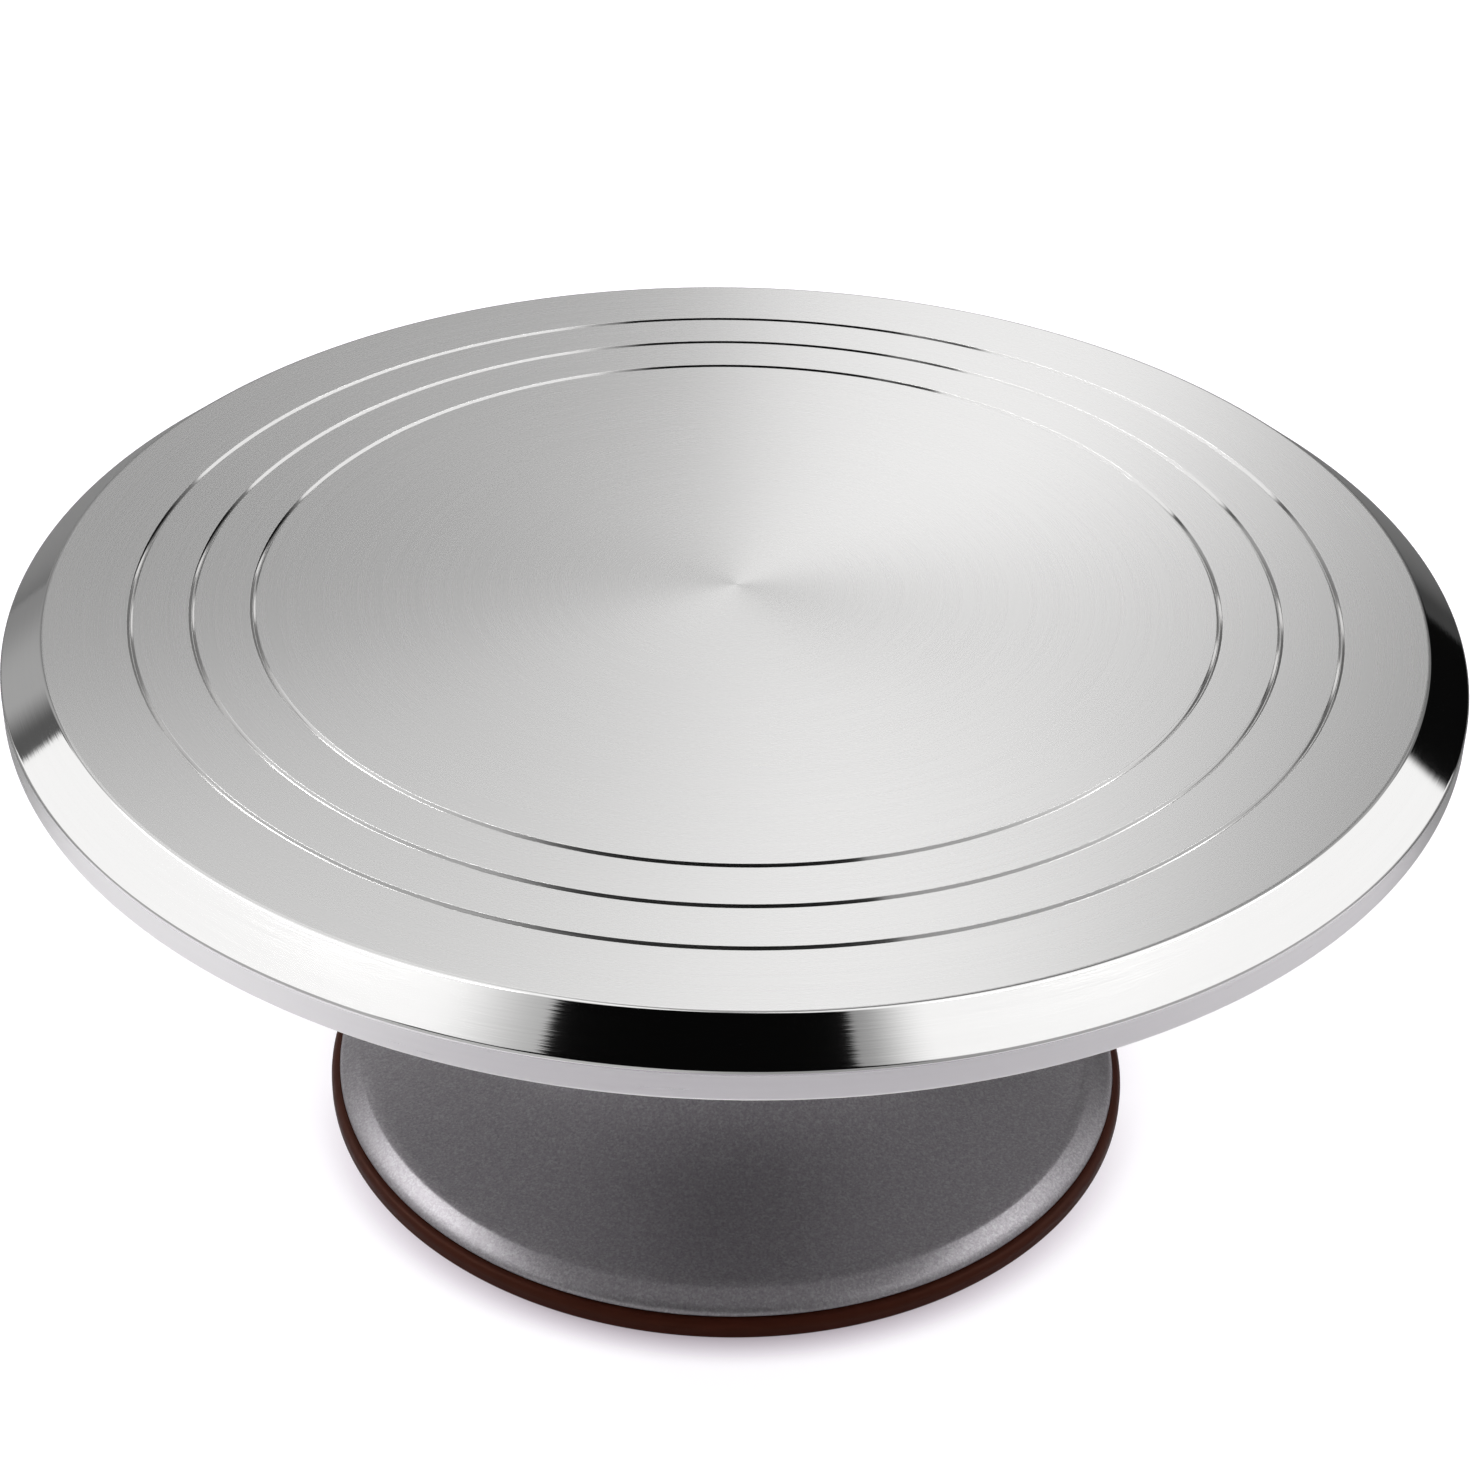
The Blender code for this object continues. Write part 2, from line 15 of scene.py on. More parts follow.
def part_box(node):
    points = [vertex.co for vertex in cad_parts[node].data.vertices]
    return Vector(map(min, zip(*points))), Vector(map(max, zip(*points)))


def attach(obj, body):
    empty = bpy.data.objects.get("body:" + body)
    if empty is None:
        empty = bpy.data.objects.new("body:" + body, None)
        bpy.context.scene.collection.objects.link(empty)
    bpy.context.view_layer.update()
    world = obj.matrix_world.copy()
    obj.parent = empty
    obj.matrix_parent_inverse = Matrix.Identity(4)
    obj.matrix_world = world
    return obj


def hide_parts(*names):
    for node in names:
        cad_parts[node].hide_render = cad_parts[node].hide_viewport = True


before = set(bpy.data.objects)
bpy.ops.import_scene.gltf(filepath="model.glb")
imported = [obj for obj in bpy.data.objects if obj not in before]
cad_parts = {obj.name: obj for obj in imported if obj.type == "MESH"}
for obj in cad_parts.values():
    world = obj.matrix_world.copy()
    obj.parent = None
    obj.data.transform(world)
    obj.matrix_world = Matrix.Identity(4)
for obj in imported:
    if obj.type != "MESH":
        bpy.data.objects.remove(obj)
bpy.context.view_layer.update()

MM = 0.001
GAP = 0.3


def box_mm(node):
    """A CAD node's lowest and highest corners, in millimetres."""
    low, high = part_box(node)
    return low / MM, high / MM


# ---------------------------------------------------------------- sizes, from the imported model
PLATE_LOW, PLATE_HIGH = box_mm("turntable_plate")
PLATE_RADIUS = PLATE_HIGH.x
TABLE_HEIGHT = PLATE_HIGH.z
RIM_BOTTOM = PLATE_LOW.z
BEVEL_WIDTH = 8.8
BEVEL_DROP = 6.6
BEVEL_FOOT = TABLE_HEIGHT - BEVEL_DROP
PLATE_THICKNESS = 4.0
UNDERSIDE = TABLE_HEIGHT - PLATE_THICKNESS
SKIRT_WALL = 3.0
BEVEL_WALL = 3.5
GUIDE_RADII = (125.8, 113.3, 100.8)
GUIDE_WIDTH = 1.2
GUIDE_DEPTH = 0.7
BOSS_RADIUS = 44.0
FLANGE_LOW, FLANGE_HIGH = box_mm("hub_flange")
BOSS_FACE = FLANGE_HIGH.z + GAP
PLATE_RIBS = 6
PLATE_RIB_WIDTH = 3.0
PLATE_RIB_DEPTH = 4.0
HUB_HOLE_DEPTH = 7.6
HUB_HOLE_POINT = 1.0
SCREW_COUNT = 4
SCREW_PITCH_RADIUS = 34.0
SCREW_RADIUS = 2.5

RING_HIGH = box_mm("grip_ring")[1]
RING_RADIUS = RING_HIGH.x
RING_HEIGHT = RING_HIGH.z
RING_WALL_INNER = 87.8
RING_INNER_RADIUS = 80.0
RING_FLOOR = 1.7

CASTING_LOW, CASTING_HIGH = box_mm("base_casting")
FOOT_RADIUS = CASTING_HIGH.x
FOOT_BOTTOM = CASTING_LOW.z
FOOT_LEDGE = RING_HEIGHT + GAP
NECK_TOP = CASTING_HIGH.z
NECK_RADIUS = 24.0
LIP_CREASE_RADIUS = 84.0
LIP_CREASE_HEIGHT = 8.5
SHELL_WALL = 4.0
TUBE_RADIUS = 22.0
TUBE_BOTTOM = 18.0
BORE_RADIUS = 17.8
BORE_SHOULDER_RADIUS = 15.5
BASE_RIBS = 4
BASE_RIB_WIDTH = 4.0
BASE_RIB_REACH = 58.0
BASE_RIB_TOE = 4.5
CAP_WALL = 1.5
CAP_GROOVE_INNER = 11.0
CAP_GROOVE_OUTER = 18.0
CAP_GROOVE_DEPTH = 0.4

# Hub, spindle and bearings
FLANGE_THICKNESS = 5.0
FLANGE_NECK_RADIUS = 10.0
SPINDLE_RADIUS = 7.5
SPINDLE_HEAD_RADIUS = 11.0
SPINDLE_HEAD_HEIGHT = 3.0
THREAD_RADIUS = 6.0
THREAD_PITCH = 1.75
THREAD_DEPTH = 1.0
THREAD_ROWS_PER_PITCH = 6
NUT_FLATS = 19.0
NUT_FACE_RADIUS = 8.9
NUT_CROWN = 1.6
NUT_TOP_CROWN = 1.1
NUT_RECESS_RADIUS = 8.5
NUT_RECESS_DEPTH = 2.3
SCREW_HEAD_RADIUS = 4.7
SOCKET_FLATS = 3.0
SOCKET_DEPTH = 1.8
SOCKET_CHAMFER = 0.3
COUNTERSINK = 1.4
SPLIT_WASHER_SWEEP = radians(345)
CIRCLIP_INNER = 15.6
CIRCLIP_SWEEP = radians(318)
BEARING_WIDTH = 11.0
BALL_COUNT = 8
BALL_RADIUS = 2.976
BALL_PITCH_RADIUS = 12.5
INNER_LAND_RADIUS = 10.7
OUTER_LAND_RADIUS = 14.3
SHIELD_CLEARANCE = 0.4
CAGE_WALL = 2.9
POCKET_REACH = 2.2

# Tools reach this far past what they cut or join
OVERSHOOT = 1.0

# Colours
ALUMINIUM = (0.86, 0.855, 0.85)
PAINT_DARK = (0.265, 0.251, 0.266)
PAINT_LIGHT = (0.374, 0.355, 0.377)
PAINT_FLAKE = (0.55, 0.54, 0.56)

# Sides of a full turn
ROUND = 288
HUB_ROUND = 144
SMALL_ROUND = 48

# Creases sharper than this are shaded as edges
SHARP_ANGLE = radians(30)

# How far up a face's normal points
NEARLY_LEVEL = 0.97
NEARLY_UPRIGHT = 0.02


# ---------------------------------------------------------------- mesh tools
def rounded(outline, steps=6, hold=0.08):
    """The outline with an arc at each corner that has a radius.

    A point just before and after each arc keeps the shading of the flat beside it flat.
    """
    points = []
    for index, corner in enumerate(outline):
        place = Vector(corner[:2])
        if len(corner) == 2:
            points.append(place)
            continue
        before = (Vector(outline[index - 1][:2]) - place).normalized()
        after = (Vector(outline[(index + 1) % len(outline)][:2]) - place).normalized()
        half = before.angle(after) / 2
        reach = corner[2] / tan(half)
        centre = place + (before + after).normalized() * corner[2] / sin(half)
        start = place + before * reach - centre
        turn = start.angle_signed(place + after * reach - centre)
        points.append(place + before * (reach + hold))
        for step in range(steps + 1):
            points.append(centre + Matrix.Rotation(-turn * step / steps, 2) @ start)
        points.append(place + after * (reach + hold))
    return points


def add_turned(bm, outline, sides, placement=Matrix(), sweep=2 * pi, start=0.0, lift=0.0):
    """Turn a closed outline about Z, wholly or through a sweep over which it climbs by lift."""
    whole = sweep > 2 * pi - 1e-6
    columns = sides if whole else sides + 1
    rings = []
    for radius, height in outline:
        if radius < 1e-9:
            rings.append([bm.verts.new(placement @ Vector((0, 0, height * MM)))] * columns)
            continue
        ring = []
        for column in range(columns):
            angle = start + sweep * column / sides
            climbed = height + lift * (column / sides - 0.5)
            point = Vector((radius * cos(angle), radius * sin(angle), climbed)) * MM
            ring.append(bm.verts.new(placement @ point))
        rings.append(ring)
    for low, high in zip(rings, rings[1:] + rings[:1]):
        for column in range(sides):
            following = (column + 1) % columns
            corners = (low[column], low[following], high[following], high[column])
            corners = list(dict.fromkeys(corners))
            if len(corners) > 2:
                bm.faces.new(corners)
    if not whole:
        bm.faces.new([ring[0] for ring in reversed(rings)])
        bm.faces.new([ring[-1] for ring in rings])


def add_web(bm, outline, width, placement=Matrix()):
    """An upright slab: an outline in the XZ plane, made as thick as width along Y."""
    sides = []
    for y in (-width / 2, width / 2):
        sides.append([bm.verts.new(placement @ (Vector((x, y, z)) * MM)) for x, z in outline])
    front, back = sides
    bm.faces.new(front)
    bm.faces.new(list(reversed(back)))
    for index in range(len(outline)):
        before = index - 1
        bm.faces.new((front[before], back[before], back[index], front[index]))


def around(angle, distance=0.0, height=0.0):
    """A place at an angle about the spindle, a distance out from it and a height up."""
    return Matrix.Rotation(angle, 4, "Z") @ Matrix.Translation((distance * MM, 0, height * MM))


def new_object(name, bm):
    """An object with smooth shading, from a bmesh that is then freed."""
    bmesh.ops.recalc_face_normals(bm, faces=bm.faces)
    mesh = bpy.data.meshes.new(name)
    bm.to_mesh(mesh)
    bm.free()
    mesh.shade_smooth()
    mesh.set_sharp_from_angle(angle=SHARP_ANGLE)
    made = bpy.data.objects.new(name, mesh)
    bpy.context.scene.collection.objects.link(made)
    return made


def turned(name, outline, sides=ROUND, placement=Matrix(), **swept):
    bm = bmesh.new()
    add_turned(bm, outline, sides, placement, **swept)
    return new_object(name, bm)


def ring_outline(inner, outer, low, high, edge):
    """The section of a plain ring with rounded edges."""
    return [(inner, low, edge), (outer, low, edge), (outer, high, edge), (inner, high, edge)]


def arc(centre, radius, first, last, steps=12):
    """Points along an arc of the outline's plane, between two angles in degrees."""
    angles = [radians(first + (last - first) * step / steps) for step in range(steps + 1)]
    return [(centre[0] + radius * cos(angle), centre[1] + radius * sin(angle)) for angle in angles]


def shape_with(piece, tool, operation):
    """Join a tool to a piece or cut it away, apply the result and delete the tool."""
    modifier = piece.modifiers.new("shape", "BOOLEAN")
    modifier.operation = operation
    modifier.object = tool
    modifier.solver = "EXACT"
    evaluated = piece.evaluated_get(bpy.context.evaluated_depsgraph_get())
    shaped = bpy.data.meshes.new_from_object(evaluated)
    piece.modifiers.remove(modifier)
    piece.data = shaped
    shaped.set_sharp_from_angle(angle=SHARP_ANGLE)
    bpy.data.objects.remove(tool)


def dress(piece, body, node, slot, *materials):
    """Put a finished piece on its body in place of a CAD node, with its materials."""
    piece.data.materials.clear()
    for material in materials:
        piece.data.materials.append(material)
    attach(piece, body)
    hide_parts(node)


def bezier(corners, step):
    """A point on a cubic curve, and its unit direction."""
    a, b, c, d = (Vector(corner) for corner in corners)
    rest = 1 - step
    point = rest**3 * a + 3 * rest**2 * step * b + 3 * rest * step**2 * c + step**3 * d
    heading = rest**2 * (b - a) + 2 * rest * step * (c - b) + step**2 * (d - c)
    return point, heading.normalized()


def trumpet(inset, first, last, steps):
    """The flared shell's curve from foot to neck, moved inwards by inset."""
    corners = ((LIP_CREASE_RADIUS, LIP_CREASE_HEIGHT), (46, 11.4), (26, 18), (NECK_RADIUS + 0.5, 62))
    points = []
    for index in range(steps + 1):
        point, heading = bezier(corners, first + (last - first) * index / steps)
        points.append(point + inset * Vector((-heading.y, heading.x)))
    return points


# ---------------------------------------------------------------- material tools
# Noise and Voronoi scales are per metre, and bump distances are in metres.
WALL_TURN = 1.3


class Nodes:
    """A node tree, with short ways to add to it."""

    def __init__(self, tree):
        self.tree = tree

    def node(self, kind, settings=None, **inputs):
        """A node with its settings, and its inputs set to a value or linked to a socket."""
        made = self.tree.nodes.new(kind)
        for key, value in (settings or {}).items():
            setattr(made, key, value)
        for key, value in inputs.items():
            self.feed(made.inputs[key.replace("_", " ")], value)
        return made

    def feed(self, socket, value):
        if isinstance(value, bpy.types.NodeSocket):
            self.tree.links.new(value, socket)
        else:
            socket.default_value = value

    def math(self, operation, first, second=0.0):
        made = self.tree.nodes.new("ShaderNodeMath")
        made.operation = operation
        self.feed(made.inputs[0], first)
        self.feed(made.inputs[1], second)
        return made.outputs[0]

    def place(self):
        """Where a point lies, in metres from its own object's origin."""
        return self.node("ShaderNodeTexCoord").outputs["Object"]

    def split(self, vector):
        return self.node("ShaderNodeSeparateXYZ", Vector=vector).outputs

    def distance(self, x, y):
        """How far a place is from the Z axis."""
        squares = self.math("ADD", self.math("MULTIPLY", x, x), self.math("MULTIPLY", y, y))
        return self.math("SQRT", squares)

    def noise(self, vector, scale, detail=3.0, roughness=0.55):
        made = self.node("ShaderNodeTexNoise", Vector=vector, Scale=scale, Detail=detail,
                         Roughness=roughness)
        return made.outputs["Fac"]

    def remap(self, value, low, high, to_low=0.0, to_high=1.0, smooth=False):
        """Carry one range over to another, held at its ends."""
        made = self.tree.nodes.new("ShaderNodeMapRange")
        if smooth:
            made.interpolation_type = "SMOOTHSTEP"
        for index, item in enumerate((value, low, high, to_low, to_high)):
            self.feed(made.inputs[index], item)
        return made.outputs[0]

    def blend(self, factor, first, second):
        """A colour between two others, each a socket or three numbers."""
        made = self.node("ShaderNodeMix", {"data_type": "RGBA"})
        sockets = {socket.identifier: socket for socket in (*made.inputs, *made.outputs)}
        self.feed(sockets["Factor_Float"], factor)
        for key, colour in (("A_Color", first), ("B_Color", second)):
            linked = isinstance(colour, bpy.types.NodeSocket)
            self.feed(sockets[key], colour if linked else (*colour, 1))
        return sockets["Result_Color"]

    def bump(self, height, distance, normal=None):
        made = self.node("ShaderNodeBump", Height=height, Distance=distance, Strength=1.0)
        if normal is not None:
            self.feed(made.inputs["Normal"], normal)
        return made.outputs["Normal"]

    def lathe_vector(self, per_mm, breaks):
        """Coordinates that change fast across a turned surface and slowly round it."""
        x, y, z = self.split(self.place())
        radius = self.distance(x, y)
        across = self.math("SUBTRACT", radius, self.math("MULTIPLY", z, WALL_TURN))
        safe = self.math("MAXIMUM", radius, 1e-4)
        made = self.tree.nodes.new("ShaderNodeCombineXYZ")
        self.feed(made.inputs[0], self.math("MULTIPLY", across, per_mm / MM))
        self.feed(made.inputs[1], self.math("MULTIPLY", self.math("DIVIDE", x, safe), breaks))
        self.feed(made.inputs[2], self.math("MULTIPLY", self.math("DIVIDE", y, safe), breaks))
        return made.outputs[0]


class Finish(Nodes):
    """A material built on a Principled shader."""

    def __init__(self, name):
        self.material = bpy.data.materials.new(name)
        self.material.use_nodes = True
        super().__init__(self.material.node_tree)
        self.shader = self.tree.nodes["Principled BSDF"]

    def set(self, **inputs):
        for key, value in inputs.items():
            self.feed(self.shader.inputs[key.replace("_", " ")], value)


def turned_metal(name, colour, roughness, line_depth, lines_per_mm=2.5, breaks=6.0, tint=0.04,
                 vary=0.2, wave_depth=0.0, anisotropy=0.6):
    """Bare metal with the concentric marks of a lathe: fine lines over long, low waves."""
    finish = Finish(name)
    fine = finish.noise(finish.lathe_vector(lines_per_mm, breaks), 1.0, 4.0, 0.65)
    broad = finish.noise(finish.lathe_vector(0.35, 2.0), 1.0, 2.0)
    wave = finish.noise(finish.lathe_vector(1.6, 9.0), 1.0, 2.0)
    shade = finish.math("MULTIPLY", finish.math("ADD", fine, broad), 0.5)
    darker = tuple(channel * (1 - tint) for channel in colour)
    lighter = tuple(min(1.0, channel * (1 + tint)) for channel in colour)
    round_z = {"direction_type": "RADIAL", "axis": "Z"}
    finish.set(
        Base_Color=finish.blend(shade, darker, lighter),
        Roughness=finish.remap(fine, 0.3, 0.7, roughness * (1 - vary), roughness * (1 + vary)),
        Metallic=1.0,
        Normal=finish.bump(fine, line_depth * MM, finish.bump(wave, wave_depth * MM)),
        Anisotropic=anisotropy,
        Anisotropic_Rotation=0.25,
        Tangent=finish.node("ShaderNodeTangent", round_z).outputs[0],
    )
    return finish.material


def foot_paint():
    """Dark grey metallic paint: a smooth satin coat with a very fine, faint sparkle."""
    finish = Finish("foot paint")
    place = finish.place()
    grain = finish.noise(place, 1700.0, 3.0, 0.7)
    swell = finish.noise(place, 60.0, 2.0)
    flakes = finish.node("ShaderNodeTexVoronoi", Vector=place, Scale=2600.0).outputs["Color"]
    flake = finish.node("ShaderNodeSeparateColor", Color=flakes).outputs[0]
    bright = finish.remap(flake, 0.6, 1.0, 0.0, 0.38)
    tone = finish.blend(finish.remap(grain, 0.35, 0.65), PAINT_DARK, PAINT_LIGHT)
    finish.set(
        Base_Color=finish.blend(bright, tone, PAINT_FLAKE),
        Roughness=finish.remap(grain, 0.3, 0.7, 0.29, 0.36),
        Metallic=0.72,
        Normal=finish.bump(grain, 0.035 * MM, finish.bump(swell, 0.02 * MM)),
    )
    return finish.material


def moulded(name, dark, light, roughness, grain_depth=0.015, gloss=0.5, gloss_tint=(1, 1, 1)):
    """A moulded rubber or plastic: faint mottling and a fine grain."""
    finish = Finish(name)
    place = finish.place()
    mottle = finish.noise(place, 120.0, 3.0)
    grain = finish.noise(place, 2500.0, 2.0)
    finish.set(
        Base_Color=finish.blend(mottle, dark, light),
        Roughness=finish.remap(mottle, 0.3, 0.7, roughness * 0.9, roughness * 1.15),
        Normal=finish.bump(grain, grain_depth * MM),
        Specular_IOR_Level=gloss,
        Specular_Tint=(*gloss_tint, 1),
    )
    return finish.material


def plated_steel(name, colour, roughness):
    """Pressed or rolled steel with a thin plated skin: cloudy, with fine random scratches."""
    finish = Finish(name)
    place = finish.place()
    cloud = finish.noise(place, 150.0, 4.0, 0.6)
    scratches = finish.noise(place, 900.0, 5.0, 0.8)
    darker = tuple(channel * 0.85 for channel in colour)
    finish.set(
        Base_Color=finish.blend(cloud, darker, colour),
        Roughness=finish.remap(cloud, 0.3, 0.7, roughness * 0.75, roughness * 1.3),
        Metallic=1.0,
        Normal=finish.bump(scratches, 0.004 * MM),
    )
    return finish.material


# ---------------------------------------------------------------- pieces
def make_plate():
    """The turned plate: flat with guide grooves, bevel, rim band, skirt, boss, ribs, screw holes."""
    slope = BEVEL_DROP / BEVEL_WIDTH
    flat_radius = PLATE_RADIUS - BEVEL_WIDTH
    skirt_inner = PLATE_RADIUS - SKIRT_WALL
    skirt_top = BEVEL_FOOT + slope * SKIRT_WALL - BEVEL_WALL * hypot(1, slope)
    underside_radius = skirt_inner - (UNDERSIDE - skirt_top) / slope
    outline = [
        (0, BOSS_FACE), (BOSS_RADIUS, BOSS_FACE, 0.8), (BOSS_RADIUS, UNDERSIDE, 1.5),
        (underside_radius, UNDERSIDE, 2.0), (skirt_inner, skirt_top, 1.0),
        (skirt_inner, RIM_BOTTOM, 0.4), (PLATE_RADIUS, RIM_BOTTOM, 0.6),
        (PLATE_RADIUS, BEVEL_FOOT, 1.1), (flat_radius, TABLE_HEIGHT, 1.5),
    ]
    for radius in GUIDE_RADII:
        outline.append((radius + GUIDE_WIDTH / 2, TABLE_HEIGHT, 0.1))
        outline.append((radius, TABLE_HEIGHT - GUIDE_DEPTH, 0.12))
        outline.append((radius - GUIDE_WIDTH / 2, TABLE_HEIGHT, 0.1))
    outline += [(radius, TABLE_HEIGHT) for radius in (60, 20, 4, 0)]
    plate = turned("plate", rounded(outline))

    rib_low = UNDERSIDE - PLATE_RIB_DEPTH
    rib_root = UNDERSIDE + 1.5 * OVERSHOOT
    rib = [(BOSS_RADIUS - OVERSHOOT, rib_low), (skirt_inner + OVERSHOOT, rib_low),
           (skirt_inner + OVERSHOOT, rib_low + OVERSHOOT), (flat_radius, rib_root),
           (BOSS_RADIUS - OVERSHOOT, rib_root)]
    bm = bmesh.new()
    for index in range(PLATE_RIBS):
        add_web(bm, rib, PLATE_RIB_WIDTH, around(2 * pi * (index + 0.5) / PLATE_RIBS))
    shape_with(plate, new_object("rib_tool", bm), "UNION")
    hole = [(0, -OVERSHOOT), (SCREW_RADIUS + GAP, -OVERSHOOT), (SCREW_RADIUS + GAP, HUB_HOLE_DEPTH),
            (0, HUB_HOLE_DEPTH + HUB_HOLE_POINT)]
    bm = bmesh.new()
    for index in range(SCREW_COUNT):
        add_turned(bm, hole, SMALL_ROUND, around(screw_angle(index), SCREW_PITCH_RADIUS, BOSS_FACE))
    shape_with(plate, new_object("hole_tool", bm), "DIFFERENCE")

    dress(plate, "rotating_plate", "turntable_plate", "plate_aluminium",
          turned_metal("plate top", ALUMINIUM, 0.27, 0.001, breaks=1.5, tint=0.015, vary=0.04),
          turned_metal("plate bevel", ALUMINIUM, 0.05, 0.0006, 4.0, wave_depth=0.0045),
          turned_metal("plate band", ALUMINIUM, 0.34, 0.006),
          # The underside keeps its own rougher turned finish, but its aluminium is darker than the top's:
          # painted shade under the plate.
          turned_metal("plate underside with painted shade", (0.60, 0.60, 0.60), 0.5, 0.02, lines_per_mm=1.2),
          # The grooves' aluminium is darker than the top's: painted shade in the grooves.
          turned_metal("plate groove with painted shade", (0.76, 0.755, 0.75), 0.1, 0.001, lines_per_mm=4.0))
    share_out_faces(plate.data, flat_radius)


def share_out_faces(mesh, flat_radius):
    """Give each face of the plate its finish, in the order that its materials have."""
    top, bevel, band, underside, groove = range(5)
    groove_floor = (TABLE_HEIGHT - GUIDE_DEPTH - 0.1) * MM
    band_edge = (PLATE_RADIUS - 0.7) * MM
    for face in mesh.polygons:
        out = hypot(face.center.x, face.center.y)
        upward = face.normal.z
        deep = face.center.z < groove_floor
        if upward > NEARLY_LEVEL and not deep:
            face.material_index = top
        elif out > flat_radius * MM and upward > NEARLY_UPRIGHT:
            face.material_index = bevel
        elif out > band_edge:
            face.material_index = band
        elif deep:
            face.material_index = underside
        else:
            face.material_index = groove


def screw_angle(index):
    return 2 * pi * (index + 0.5) / SCREW_COUNT


def make_foot():
    """The trumpet casting: lip, flare, neck, bearing tube and the ribs between tube and shell."""
    circlip_low, circlip_high = box_mm("circlip")
    groove_low = circlip_low.z - GAP
    groove_high = circlip_high.z + GAP
    groove = circlip_high.y + GAP
    upper_seat = box_mm("upper_bearing_outer_ring")[0].z - GAP
    lower_seat = box_mm("lower_bearing_outer_ring")[1].z + GAP
    rebate = RING_WALL_INNER - GAP
    inner_curve = trumpet(SHELL_WALL, 0.76, 0.1, 24)
    hollow_top = inner_curve[0].y
    outline = [(RING_INNER_RADIUS + 0.5, FOOT_BOTTOM), (rebate, FOOT_BOTTOM, 0.3), (rebate, FOOT_LEDGE)]
    outline += lip_points() + trumpet(0, 0.0, 1.0, 44)
    outline += [
        (NECK_RADIUS, NECK_TOP, 1.2), (BORE_RADIUS, NECK_TOP, 0.4), (BORE_RADIUS, groove_high),
        (groove, groove_high), (groove, groove_low), (BORE_RADIUS, groove_low),
        (BORE_RADIUS, upper_seat), (BORE_SHOULDER_RADIUS, upper_seat, 0.3),
        (BORE_SHOULDER_RADIUS, lower_seat, 0.3), (BORE_RADIUS, lower_seat),
        (BORE_RADIUS, TUBE_BOTTOM, 0.4), (TUBE_RADIUS, TUBE_BOTTOM, 0.8), (TUBE_RADIUS, hollow_top, 1.2),
    ]
    outline += inner_curve
    foot = turned("foot", rounded(outline))

    middle_curve = trumpet(SHELL_WALL / 2, 0.76, 0.22, 12)
    rib_root = TUBE_RADIUS - 2 * OVERSHOOT
    rib = [(rib_root, TUBE_BOTTOM + OVERSHOOT), (rib_root, hollow_top + 2 * OVERSHOOT)]
    rib += [tuple(point) for point in middle_curve] + [(BASE_RIB_REACH, BASE_RIB_TOE)]
    bm = bmesh.new()
    for index in range(BASE_RIBS):
        add_web(bm, rib, BASE_RIB_WIDTH, around(2 * pi * (index + 0.5) / BASE_RIBS))
    shape_with(foot, new_object("rib_tool", bm), "UNION")
    dress(foot, "foot", "base_casting", "foot_paint", foot_paint())
    return foot


def lip_points():
    """The rounded lip between the ring's ledge and the crease where the flare starts."""
    start = Vector((FOOT_RADIUS, FOOT_LEDGE + 0.2))
    corners = (start, (88.9, 5.7), (86.3, 7.2), (LIP_CREASE_RADIUS, LIP_CREASE_HEIGHT))
    points = [(FOOT_RADIUS, FOOT_LEDGE)]
    points += [tuple(bezier(corners, step / 10)[0]) for step in range(10)]
    return points


def make_ring():
    """The moulded ring round the foot."""
    outline = [
        (RING_INNER_RADIUS, 0, 0.3), (RING_RADIUS, 0, 1.0), (RING_RADIUS, RING_HEIGHT, 1.7),
        (RING_WALL_INNER, RING_HEIGHT, 0.2), (RING_WALL_INNER, RING_FLOOR),
        (RING_INNER_RADIUS, RING_FLOOR, 0.3),
    ]
    silicone = moulded("brown silicone", (0.034, 0.0068, 0.0034), (0.054, 0.0108, 0.0055), 0.42,
                       gloss=0.25, gloss_tint=(1.0, 0.5, 0.35))
    dress(turned("silicone_ring", rounded(outline)), "foot", "grip_ring", "foot_silicone", silicone)


def make_cap():
    """The pressed dust cap under the bearing tube."""
    low, high = box_mm("dust_cap")
    top = TUBE_BOTTOM - GAP
    skirt = BORE_RADIUS - GAP
    pressed = low.z + CAP_GROOVE_DEPTH
    outline = [
        (0, low.z), (CAP_GROOVE_INNER, low.z, 1.5), (CAP_GROOVE_INNER + 1, pressed, 1.5),
        (CAP_GROOVE_OUTER - 1, pressed, 1.5), (CAP_GROOVE_OUTER, low.z, 1.5),
        (high.x, low.z, 1.0), (high.x, top, 0.3), (skirt, top, 0.2), (skirt, high.z, 0.5),
        (skirt - CAP_WALL, high.z, 0.5), (skirt - CAP_WALL, top), (0, top),
    ]
    cap = plated_steel("cap steel", (0.66, 0.66, 0.68), 0.3)
    dress(turned("cap", rounded(outline, 4, 0.0), HUB_ROUND), "foot", "dust_cap", "cap_steel", cap)


